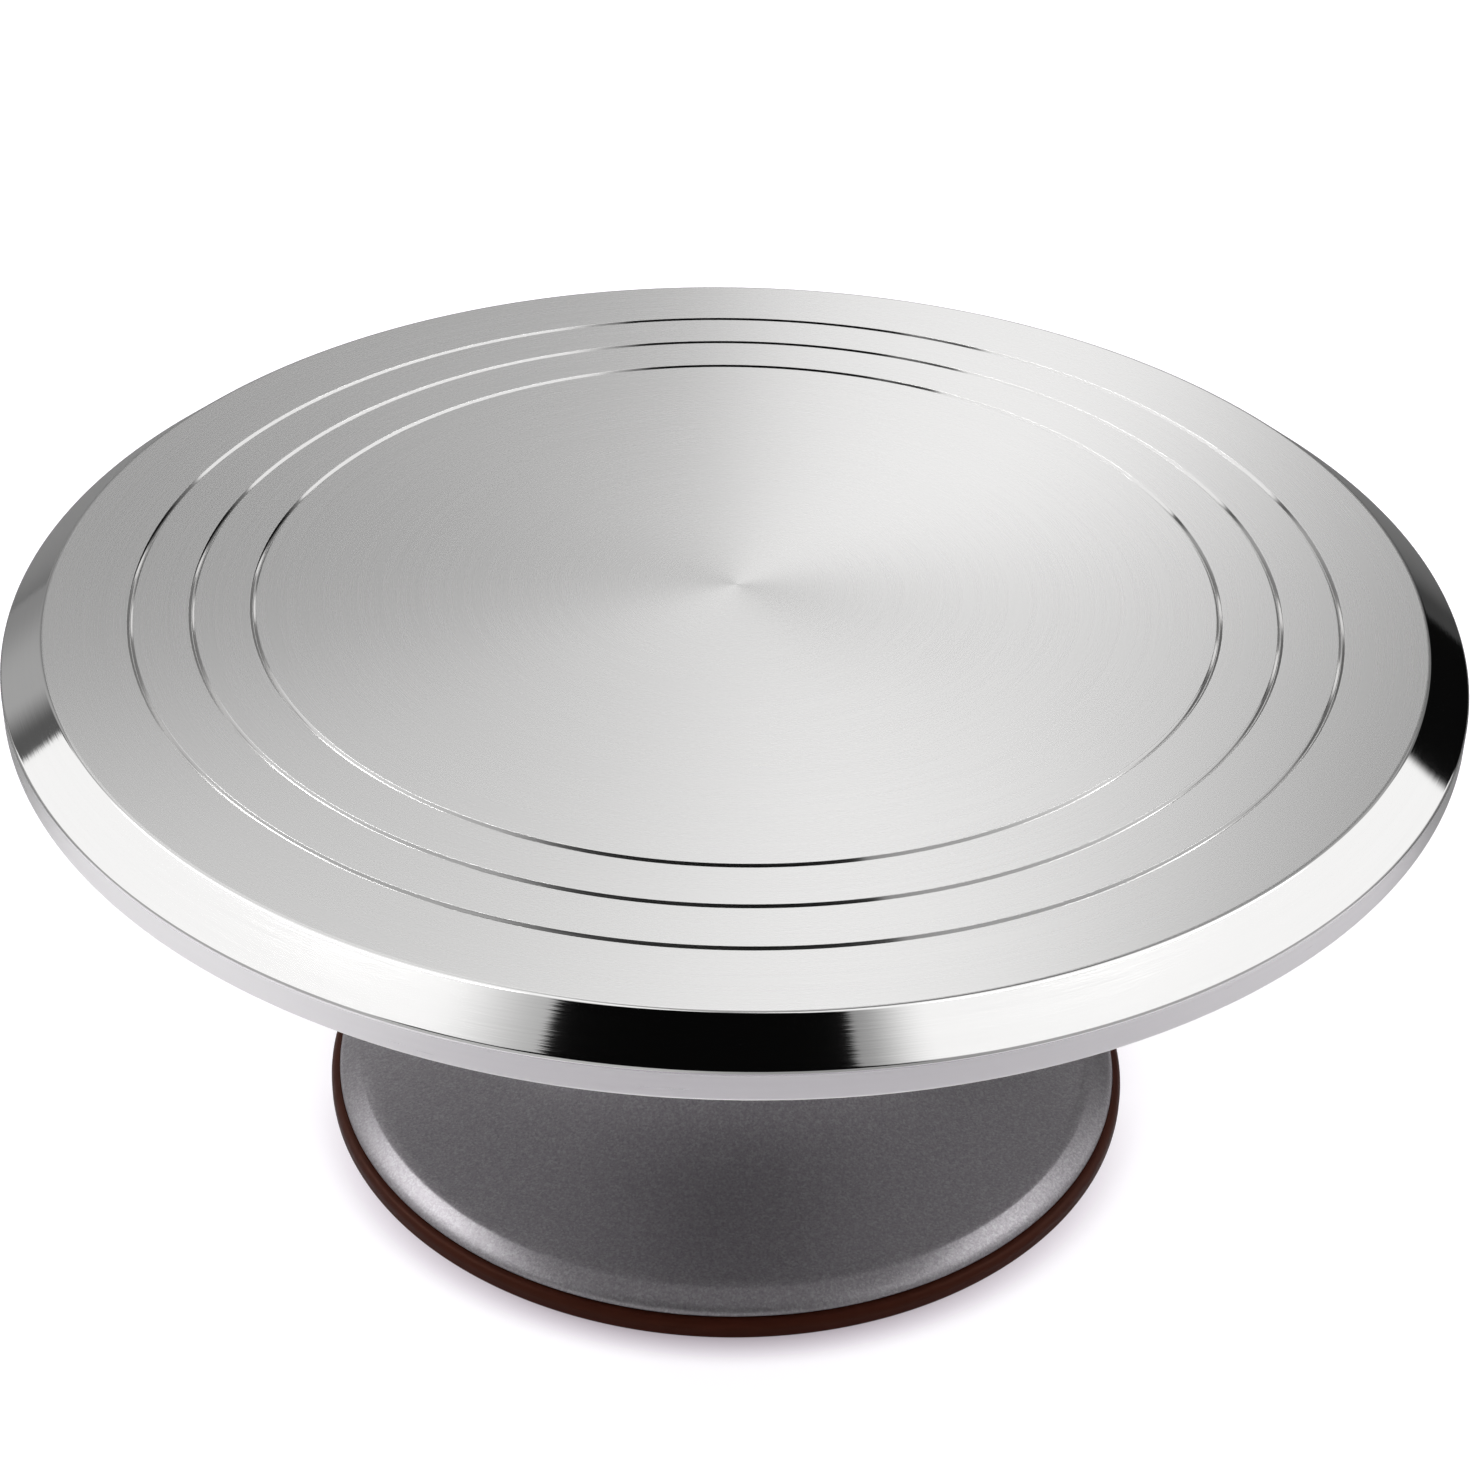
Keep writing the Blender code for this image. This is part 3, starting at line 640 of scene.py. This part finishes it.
def make_flange():
    """The turned flange under the plate, with its countersunk holes."""
    bottom = FLANGE_HIGH.z - FLANGE_THICKNESS
    neck_bottom = FLANGE_LOW.z
    bore = SPINDLE_RADIUS + GAP
    recess = SPINDLE_HEAD_RADIUS + GAP
    seat = FLANGE_HIGH.z - SPINDLE_HEAD_HEIGHT - 2 * GAP
    outline = [
        (bore, neck_bottom, 0.3), (FLANGE_NECK_RADIUS, neck_bottom, 0.3), (FLANGE_NECK_RADIUS, bottom, 0.8),
        (FLANGE_HIGH.x, bottom, 0.8), (FLANGE_HIGH.x, FLANGE_HIGH.z, 0.8),
        (recess, FLANGE_HIGH.z, 0.3), (recess, seat), (bore, seat, 0.2),
    ]
    flange = turned("flange", rounded(outline), HUB_ROUND)
    hole_radius = SCREW_RADIUS + GAP
    through = FLANGE_THICKNESS + OVERSHOOT
    hole = [(0, -OVERSHOOT), (hole_radius + COUNTERSINK, -OVERSHOOT),
            (hole_radius, COUNTERSINK - OVERSHOOT), (hole_radius, through), (0, through)]
    bm = bmesh.new()
    for index in range(SCREW_COUNT):
        add_turned(bm, hole, SMALL_ROUND, around(screw_angle(index), SCREW_PITCH_RADIUS, bottom))
    shape_with(flange, new_object("hole_tool", bm), "DIFFERENCE")
    steel = turned_metal("flange steel", (0.60, 0.60, 0.61), 0.3, 0.01, lines_per_mm=2.0)
    dress(flange, "rotating_plate", "hub_flange", "flange_steel", steel)


def make_hub_screws(steel):
    """The low-head socket screws, each with a split spring washer."""
    shank_top = box_mm("hub_screw_1")[1].z
    head_low = box_mm("hub_screw_1")[0].z
    washer_low, washer_high = box_mm("spring_washer_1")
    head_top = washer_low.z - GAP
    screw = [(0, head_low), (SCREW_HEAD_RADIUS, head_low, 0.8), (SCREW_HEAD_RADIUS, head_top, 0.2),
             (SCREW_RADIUS, head_top), (SCREW_RADIUS, shank_top, 0.5), (0, shank_top)]
    flat = SOCKET_FLATS / 2 / cos(pi / 6)
    below = head_low - OVERSHOOT
    socket = [(0, below), (flat + 2 * SOCKET_CHAMFER, below), (flat + SOCKET_CHAMFER, head_low),
              (flat, head_low + SOCKET_CHAMFER), (flat, head_low + SOCKET_DEPTH - SOCKET_CHAMFER),
              (0, head_low + SOCKET_DEPTH)]
    lift = 0.7 * GAP
    washer = ring_outline(SCREW_RADIUS + GAP, SCREW_HEAD_RADIUS, washer_low.z, washer_high.z, 0.15)
    for index in range(SCREW_COUNT):
        centre = around(screw_angle(index), SCREW_PITCH_RADIUS)
        piece = turned(f"screw_{index + 1}", rounded(screw, 4, 0.04), SMALL_ROUND, centre)
        shape_with(piece, turned("socket_tool", socket, 6, centre), "DIFFERENCE")
        dress(piece, "rotating_plate", f"hub_screw_{index + 1}", "fastener_steel", steel)
        split = turned(f"split_washer_{index + 1}", rounded(washer, 3, 0.0), SMALL_ROUND, centre,
                       sweep=SPLIT_WASHER_SWEEP, lift=lift)
        dress(split, "rotating_plate", f"spring_washer_{index + 1}", "fastener_steel", steel)


def add_thread(bm, low, high, sides):
    """A round bar with a helical thread, closed by a plain end at the top and a chamfer below."""
    root = THREAD_RADIUS - THREAD_DEPTH
    rows = int((high - low) / THREAD_PITCH * THREAD_ROWS_PER_PITCH)
    rings = []
    for row in range(rows + 1):
        ring = []
        height = low + (high - low) * row / rows
        for column in range(sides):
            turns = height / THREAD_PITCH - column / sides
            tooth = abs(2 * (turns % 1) - 1)
            crest = min(1.0, max(0.0, 1.3 * tooth - 0.1))
            fade = min(1.0, (height - low) / THREAD_DEPTH)
            radius = root + THREAD_DEPTH * crest * fade if row < rows else root
            angle = 2 * pi * column / sides
            ring.append(bm.verts.new(Vector((radius * cos(angle), radius * sin(angle), height)) * MM))
        rings.append(ring)
    for lower, upper in zip(rings, rings[1:]):
        for column in range(sides):
            following = (column + 1) % sides
            bm.faces.new((lower[column], lower[following], upper[following], upper[column]))
    bm.faces.new(list(reversed(rings[0])))
    bm.faces.new(rings[-1])


def make_spindle(steel, ground, nylon):
    """The spindle with its threaded end, its washer, and the lock nut with its nylon insert."""
    low, high = box_mm("spindle")
    head_low = high.z - SPINDLE_HEAD_HEIGHT
    washer_low, washer_high = box_mm("spindle_washer")
    shoulder = washer_high.z + 2 * GAP
    outline = [
        (0, shoulder), (SPINDLE_RADIUS, shoulder, 0.4), (SPINDLE_RADIUS, head_low),
        (SPINDLE_HEAD_RADIUS, head_low, 0.3), (SPINDLE_HEAD_RADIUS, high.z, 0.6), (0, high.z),
    ]
    spindle = turned("spindle_bar", rounded(outline, 4, 0.04), HUB_ROUND)
    bm = bmesh.new()
    add_thread(bm, low.z, shoulder + OVERSHOOT, SMALL_ROUND)
    shape_with(spindle, new_object("thread_tool", bm), "UNION")
    dress(spindle, "rotating_plate", "spindle", "spindle_steel", ground)

    bore = THREAD_RADIUS + GAP
    washer = ring_outline(bore, washer_high.x, washer_low.z, washer_high.z, 0.3)
    dress(turned("thick_washer", rounded(washer, 4, 0.0), HUB_ROUND), "rotating_plate", "spindle_washer",
          "fastener_steel", steel)

    low, high = box_mm("lock_nut")
    corner = NUT_FLATS / 2 / cos(pi / 6)
    nut = turned("hexagon_nut", [(0, low.z), (corner, low.z), (corner, high.z), (0, high.z)], 6)
    beyond = corner + 0.1
    crowned = [(0, low.z), (NUT_FACE_RADIUS, low.z, 0.8), (beyond, low.z + NUT_CROWN),
               (beyond, high.z - NUT_TOP_CROWN), (NUT_FACE_RADIUS + 0.3, high.z), (0, high.z)]
    shape_with(nut, turned("crown_tool", rounded(crowned), HUB_ROUND), "INTERSECT")
    recess_top = low.z + NUT_RECESS_DEPTH
    below = low.z - OVERSHOOT
    above = high.z + OVERSHOOT / 2
    hollow = [(0, below), (NUT_RECESS_RADIUS, below), (NUT_RECESS_RADIUS, recess_top),
              (bore, recess_top), (bore, above - OVERSHOOT), (bore + OVERSHOOT, above), (0, above)]
    shape_with(nut, turned("bore_tool", hollow, HUB_ROUND), "DIFFERENCE")
    dress(nut, "rotating_plate", "lock_nut", "fastener_steel", steel)
    low, high = box_mm("nut_insert")
    insert = ring_outline(bore, NUT_RECESS_RADIUS - GAP, low.z, high.z, 0.4)
    dress(turned("insert", rounded(insert, 4, 0.0), HUB_ROUND), "rotating_plate", "nut_insert",
          "insert_nylon", nylon)


def make_bearing(name, steel, pressed, nylon):
    """A shielded ball bearing."""
    low = box_mm(f"{name}_outer_ring")[0].z
    outer_radius = box_mm(f"{name}_outer_ring")[1].y
    bore = SPINDLE_RADIUS + GAP
    top = low + BEARING_WIDTH
    middle = (BALL_PITCH_RADIUS, low + BEARING_WIDTH / 2)
    groove = BALL_RADIUS + GAP
    land = OUTER_LAND_RADIUS - BALL_PITCH_RADIUS
    reach = degrees(acos(land / groove))
    outer = [(OUTER_LAND_RADIUS, low, 0.2), (outer_radius, low, 0.6), (outer_radius, top, 0.6),
             (OUTER_LAND_RADIUS, top, 0.2)] + arc(middle, groove, reach, -reach)
    ring = turned(f"{name}_outer", rounded(outer, 4, 0.04), HUB_ROUND)
    dress(ring, "foot", f"{name}_outer_ring", "bearing_steel", steel)
    inner = [(bore, top, 0.6), (bore, low, 0.6), (INNER_LAND_RADIUS, low, 0.2)]
    inner += arc(middle, groove, 180 + reach, 180 - reach) + [(INNER_LAND_RADIUS, top, 0.2)]
    ring = turned(f"{name}_inner", rounded(inner, 4, 0.04), HUB_ROUND)
    dress(ring, "rotating_plate", f"{name}_inner_ring", "bearing_steel", steel)

    for side in ("bottom", "top"):
        node = f"{name}_{side}_shield"
        shield_low, shield_high = box_mm(node)
        inner_edge = INNER_LAND_RADIUS + SHIELD_CLEARANCE
        section = ring_outline(inner_edge, shield_high.x, shield_low.z, shield_high.z, 0.2)
        shield = turned(f"{name}_{side}_plate", rounded(section, 4, 0.0), HUB_ROUND)
        dress(shield, "foot", node, "bearing_steel", pressed)

    train = name.replace("bearing", "ball_train")
    cage_low, cage_high = box_mm(f"{name}_cage")
    section = ring_outline(OUTER_LAND_RADIUS - CAGE_WALL, cage_high.x, cage_low.z, cage_high.z, 0.3)
    cage = turned(f"{name}_crown", rounded(section, 4, 0.0), HUB_ROUND)
    drill = [(0, -POCKET_REACH), (groove, -POCKET_REACH), (groove, POCKET_REACH), (0, POCKET_REACH)]
    lying = Matrix.Rotation(pi / 2, 4, "Y")
    places = [around(ball_angle(index), BALL_PITCH_RADIUS, middle[1]) for index in range(BALL_COUNT)]
    bm = bmesh.new()
    for place in places:
        add_turned(bm, drill, SMALL_ROUND, place @ lying)
    shape_with(cage, new_object("pocket_tool", bm), "DIFFERENCE")
    dress(cage, train, f"{name}_cage", "cage_nylon", nylon)
    for number, place in enumerate(places, 1):
        bm = bmesh.new()
        bmesh.ops.create_icosphere(bm, subdivisions=4, radius=BALL_RADIUS * MM, matrix=place)
        ball = new_object(f"{name}_sphere_{number}", bm)
        dress(ball, train, f"{name}_ball_{number}", "bearing_steel", steel)


def ball_angle(index):
    return 2 * pi * (index + 0.5) / BALL_COUNT


def make_spacer(ground):
    """The tube between the two inner rings."""
    low, high = box_mm("bearing_spacer")
    section = ring_outline(SPINDLE_RADIUS + GAP, high.y, low.z, high.z, 0.4)
    dress(turned("spacer_tube", rounded(section, 4, 0.04), HUB_ROUND), "rotating_plate", "bearing_spacer",
          "spindle_steel", ground)


def make_circlip():
    """The open snap ring above the upper bearing."""
    low, high = box_mm("circlip")
    section = ring_outline(CIRCLIP_INNER, high.y, low.z, high.z, 0.2)
    ring = turned("snap_ring", rounded(section, 4, 0.0), HUB_ROUND, sweep=CIRCLIP_SWEEP,
                  start=pi - CIRCLIP_SWEEP / 2)
    blackened = plated_steel("blackened steel", (0.12, 0.115, 0.12), 0.4)
    dress(ring, "foot", "circlip", "spring_steel", blackened)


def make_inner_works():
    """Everything between plate and foot: hub, spindle, bearings and fasteners."""
    zinc = plated_steel("zinc-plated steel", (0.66, 0.66, 0.67), 0.28)
    ground = turned_metal("ground steel", (0.62, 0.62, 0.63), 0.22, 0.002, lines_per_mm=4.0)
    polished = turned_metal("bearing steel", (0.70, 0.70, 0.71), 0.12, 0.0006, lines_per_mm=5.0)
    pressed = plated_steel("shield steel", (0.62, 0.62, 0.64), 0.25)
    ivory = moulded("ivory nylon", (0.56, 0.52, 0.43), (0.66, 0.62, 0.52), 0.45)
    blue = moulded("blue nylon", (0.05, 0.13, 0.42), (0.08, 0.18, 0.52), 0.4)
    make_flange()
    make_hub_screws(zinc)
    make_spindle(zinc, ground, blue)
    for name in ("upper_bearing", "lower_bearing"):
        make_bearing(name, polished, pressed, ivory)
    make_spacer(ground)
    make_circlip()
    make_cap()


# ---------------------------------------------------------------- studio
# Side, azimuth from and to, elevation from and to, softness (degrees), brightness.
# Later panels cover earlier ones. A strip's elevations are those it would have at the front:
# it leans, and sinks by LEAN as the azimuth grows.
AMBIENT = 0.35
LEAN = 0.52
FLOOR_RADIUS = 4.0
FLOOR_STEP = 0.0004
DOME_RADIUS = 3.9
FLOOR_GLOW = 0.90
# The floor's painted contact shadow: its glow, and the distances from the axis (metres) where it is full
# and where it ends.
PAINTED_SHADOW_GLOW = 0.28
PAINTED_SHADOW_NEAR = 0.089
PAINTED_SHADOW_FAR = 0.100
LIGHT_HEIGHT = 1.9
LIGHT_WIDTH = 2.6
LIGHT_WATTS = 42.0
PANELS = (
    ("back", -62, 0, 5, 100, 10, 0.84),
    ("back", 0, 62, 5, 100, 10, 0.18),
    ("back", -5, 11, 8, 100, 6, 1.15),
    ("front", -190, -100, -30, 34, 1, 0.25),
    ("front", -141, -100, 2, 40, 14, 0.40),
    ("front", -129.5, -100, -30, 34, 5, 0.10),
    ("front", -130, -40, 26, 90, 6, 1.05),
    ("front", -124.8, -40, 4, 30, 1, 1.05),
    ("front", 25, 126, 4, 90, 2, 1.05),
    ("front", 122, 146, 28, 58, 6, 0.4),
    ("strip", -130, -40, -30, 71, 6, 0.45),
    ("strip", 25, 126, -30, 71, 6, 0.42),
    ("strip", -118, -60, 94.5, 100, 3, 11.5),
    ("strip", 57, 110, 94.5, 100, 3, 7.5),
    ("back", -25, 25, 62, 100, 8, 0.4),
    ("front", -52, 0, -20, 76, 22, 0.5),
    ("front", 0, 39, -20, 76, 16, 0.33),
    ("front", -58, 33, 40, 52, 3, 0.002),
    ("front", -41, 30, 48, 84, 2, 0.002),
    ("front", 125.5, 160, -30, 17, 2, 0.003),
    ("front", 152, 190, -30, 17, 16, 0.22),
)


def make_world():
    """A plain studio as seen in reflections: two tall light banks, a dark front and a pale back.

    Azimuths are in degrees: from the front (-Y) or from the back (+Y), positive towards +X.
    """
    world = bpy.data.worlds.new("studio")
    bpy.context.scene.world = world
    world.use_nodes = True
    studio = Nodes(world.node_tree)
    x, y, z = studio.split(studio.node("ShaderNodeTexCoord").outputs["Generated"])
    front = studio.math("DEGREES", studio.math("ARCTAN2", x, studio.math("MULTIPLY", y, -1.0)))
    back = studio.math("DEGREES", studio.math("ARCTAN2", x, y))
    height = studio.math("DEGREES", studio.math("ARCSINE", z))
    sunk = studio.math("MULTIPLY", studio.math("ABSOLUTE", front), LEAN)
    leaning = studio.math("ADD", height, sunk)
    level = AMBIENT
    for side, left, right, low, high, soft, brightness in PANELS:
        azimuth = back if side == "back" else front
        elevation = leaning if side == "strip" else height
        mask = studio.math("MULTIPLY", between(studio, azimuth, left, right, soft),
                           between(studio, elevation, low, high, min(soft, 8)))
        level = studio.remap(mask, 0.0, 1.0, level, brightness)
    background = world.node_tree.nodes["Background"]
    studio.feed(background.inputs["Color"], level)


def between(studio, value, low, high, soft):
    """1 between two values and 0 outside, with soft edges."""
    rise = studio.remap(value, low - soft / 2, low + soft / 2, 0.0, 1.0, smooth=True)
    fall = studio.remap(value, high - soft / 2, high + soft / 2, 1.0, 0.0, smooth=True)
    return studio.math("MULTIPLY", rise, fall)


def stage_disc(name, height, material):
    bm = bmesh.new()
    bmesh.ops.create_circle(bm, cap_ends=True, segments=64, radius=FLOOR_RADIUS)
    disc = new_object(name, bm)
    disc.location.z = height
    disc.data.materials.append(material)
    return disc


def seen_only(thing):
    """Hide a thing from everything but the camera."""
    thing.visible_glossy = False
    thing.visible_diffuse = False
    thing.visible_shadow = False


def make_stage():
    """The white table that is seen, the one that is reflected, and a far backdrop."""
    seen_only(stage_disc("floor", 0.0, table_white()))
    # The reflected floor carries painted shade that only the metal sees.
    mirrored = stage_disc("floor_reflected", -FLOOR_STEP, reflected_floor_with_painted_shade())
    mirrored.visible_camera = False
    bm = bmesh.new()
    bmesh.ops.create_uvsphere(bm, u_segments=48, v_segments=24, radius=DOME_RADIUS)
    dome = new_object("backdrop", bm)
    glow = Finish("backdrop")
    glow.set(Base_Color=(0, 0, 0, 1), Roughness=0.9, Emission_Color=(1, 1, 1, 1), Emission_Strength=1.0)
    dome.data.materials.append(glow.material)
    seen_only(dome)
    dome.visible_transmission = False


def table_white():
    """A lit white table: it glows a little, so shadows on it stay faint; right at the foot a contact shadow
    is painted in, the glow dimmed and tinted violet, most at the front.
    """
    finish = Finish("floor seen")
    x, y, z = finish.split(finish.place())
    # Painted contact shadow: close to the foot, and more so towards the front, the glow is dimmed and
    # tinted violet.
    close = finish.remap(finish.distance(x, y), PAINTED_SHADOW_NEAR, PAINTED_SHADOW_FAR, 1.0, 0.0, smooth=True)
    shade = finish.math("MULTIPLY", close, finish.remap(y, -0.01, -0.10, 0.1))
    finish.set(
        Base_Color=(0.30, 0.28, 0.31, 1),
        Roughness=0.9,
        Emission_Color=finish.blend(shade, (0.97, 0.96, 0.98), (0.95, 0.84, 0.93)),
        Emission_Strength=finish.remap(shade, 0.0, 1.0, FLOOR_GLOW, PAINTED_SHADOW_GLOW),
    )
    return finish.material


def reflected_floor_with_painted_shade():
    """What the metal sees below it: a floor hidden from the camera, white close to the foot, with painted
    shade farther off.

    The painted shade is darkest straight ahead, paler at both front corners, and fades away behind.
    """
    finish = Finish("floor reflected")
    x, y, z = finish.split(finish.place())
    # Painted shade on the reflected floor: grey in front, paler at the corners, dark far behind.
    away = finish.distance(x, y)
    rightwards = finish.remap(x, -0.1, 0.1)
    corners = finish.blend(rightwards, (0.56, 0.55, 0.57), (0.46, 0.45, 0.47))
    aside = finish.math("ABSOLUTE", finish.math("SUBTRACT", x, 0.03))
    cornered = finish.remap(aside, 0.16, 0.30, smooth=True)
    front = finish.blend(cornered, (0.29, 0.277, 0.30), corners)
    fading = finish.blend(finish.remap(away, 0.45, 1.6), (0.10, 0.10, 0.10), (0.008, 0.008, 0.008))
    crossing = finish.remap(x, -0.1, 0.1, smooth=True)
    behind = finish.blend(crossing, (0.145, 0.145, 0.145), fading)
    painted_floor_shade = finish.blend(finish.remap(y, -0.02, 0.12, smooth=True), front, behind)
    beyond = finish.remap(away, 0.19, 0.26, smooth=True)
    finish.set(Base_Color=finish.blend(beyond, (0.8, 0.79, 0.8), painted_floor_shade), Roughness=0.9)
    return finish.material


def make_lights():
    """A wide soft light overhead that brightens the floor and isn't seen in the metal."""
    data = bpy.data.lights.new("overhead", "AREA")
    data.shape = "DISK"
    data.size = LIGHT_WIDTH
    data.energy = LIGHT_WATTS
    light = bpy.data.objects.new("overhead", data)
    light.location = (0.0, 0.0, LIGHT_HEIGHT)
    light.visible_glossy = False
    bpy.context.scene.collection.objects.link(light)


def make_camera():
    """The camera looks down from the front, turned slightly about its own axis."""
    elevation = radians(33.52)
    roll = radians(1.27)
    distance = 0.6902
    target = Vector((0, 0, 0.09065))
    back = Vector((0, -cos(elevation), sin(elevation)))
    data = bpy.data.cameras.new("camera")
    data.sensor_width = 36.0
    data.lens = 77.83
    data.shift_x = 0.002
    data.clip_start = 0.01
    camera = bpy.data.objects.new("camera", data)
    camera.location = target + back * distance
    turn = (-back).to_track_quat("-Z", "Y").to_matrix() @ Matrix.Rotation(roll, 3, "Z")
    camera.rotation_euler = turn.to_euler()
    bpy.context.scene.collection.objects.link(camera)
    bpy.context.scene.camera = camera


make_camera()
make_plate()
make_foot()
make_ring()
make_inner_works()
make_world()
make_stage()
make_lights()
bpy.context.scene.view_settings.view_transform = "Standard"
